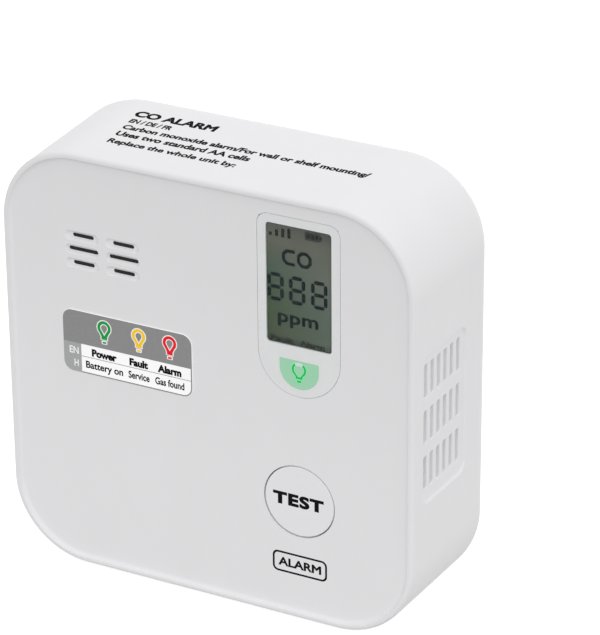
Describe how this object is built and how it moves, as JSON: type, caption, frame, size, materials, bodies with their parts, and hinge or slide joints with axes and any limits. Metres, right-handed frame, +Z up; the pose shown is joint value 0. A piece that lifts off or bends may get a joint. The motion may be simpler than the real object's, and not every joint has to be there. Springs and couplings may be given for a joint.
{
  "type": "carbon monoxide alarm",
  "caption": "Square wall-mounted gas alarm with a display, a test button, a sounder, side vents and a battery door at the back.",
  "frame": {"origin": "middle of the case's footprint, at its lowest edge", "axes": "+X to the right seen from the front, +Y from the front to the back, +Z up; the display faces -Y"},
  "size_m": [0.1, 0.036, 0.1],
  "materials": {
    "case_white": "fine satin moulded",
    "button_white": "fine satin moulded",
    "overlay_white": "satin film",
    "window_clear": "clear",
    "lamp_green": "translucent green",
    "legend_film": "printed film",
    "rating_film": "blank film",
    "display_film": "grey polariser",
    "display_glass": "clear",
    "backlight_white": "frosted",
    "frame_white": "moulded",
    "strip_rubber": "matt",
    "guide_clear": "clear moulded",
    "lamp_body": "lens over a white body",
    "spring_steel": "bright wire",
    "switch_black": "moulded",
    "plunger_red": "moulded",
    "board_green": "solder mask",
    "sounder_black": "moulded",
    "sounder_brass": "satin",
    "foam_grey": "open-cell foam",
    "mesh_black": "woven",
    "pin_tinned": "tinned",
    "cell_white": "moulded",
    "cell_cap_blue": "moulded",
    "membrane_white": "felt",
    "radio_blue": "solder mask",
    "shield_tin": "satin",
    "chip_black": "moulded",
    "capacitor_sleeve": "shrunk sleeve",
    "coil_copper": "wound wire on ferrite",
    "battery_wrap": "printed wrap",
    "contact_nickel": "nickel plated",
    "screw_zinc": "zinc plated"
  },
  "bodies": {
    "housing": {"alarm_lamp": "lamp_body", "battery_lower": "battery_wrap", "battery_upper": "battery_wrap", "board_screws": "screw_zinc", "boost_coil": "coil_copper", "bridge_spring": "contact_nickel", "button_spring": "spring_steel", "capacitors": "capacitor_sleeve", "case_screws": "screw_zinc", "contact_bridge": "contact_nickel", "contact_negative": "contact_nickel", "contact_positive": "contact_nickel", "controller_chip": "chip_black", "display_backlight": "backlight_white", "display_connector_strip": "strip_rubber", "display_frame": "frame_white", "display_front_film": "display_film", "display_front_glass": "display_glass", "display_overlay": "overlay_white", "display_rear_film": "display_film", "display_rear_glass": "display_glass", "display_window": "window_clear", "fault_lamp": "lamp_body", "front_housing": "case_white", "lamp_window": "lamp_green", "legend_label": "legend_film", "light_guide": "guide_clear", "main_board": "board_green", "negative_spring": "contact_nickel", "power_lamp": "lamp_body", "radio_board": "radio_blue", "radio_shield": "shield_tin", "rating_label": "rating_film", "rear_cover": "case_white", "sensor_body": "cell_white", "sensor_cap": "cell_cap_blue", "sensor_filter": "membrane_white", "sensor_pins": "pin_tinned", "sounder_case": "sounder_black", "sounder_disc": "sounder_brass", "sounder_gasket": "foam_grey", "sounder_mesh": "mesh_black", "sounder_pins": "pin_tinned", "switch_body": "switch_black", "vent_membrane": "membrane_white"},
    "test_button": {"test_button": "button_white"},
    "switch_plunger": {"switch_plunger": "plunger_red"},
    "battery_door": {"battery_door": "case_white"}
  },
  "joints": [
    {"name": "test_press", "type": "slide", "parent": "housing", "child": "test_button", "axis": [0, 1, 0], "range_m": [0, 0.0008], "stiffness_N_per_m": 400, "springref_m": -0.0008, "deforming": ["button_spring"]},
    {"name": "switch_press", "type": "slide", "parent": "housing", "child": "switch_plunger", "axis": [0, 1, 0], "range_m": [0, 0.00025]},
    {"name": "door_hinge", "type": "hinge", "parent": "housing", "child": "battery_door", "pos_m": [-0.012, 0.0168, 0.0523], "axis": [1, 0, 0], "range_deg": [0, 90]}
  ],
  "couplings": [
    {"joint": "switch_press", "follows": "test_press", "ratio": 0.3125}
  ]
}
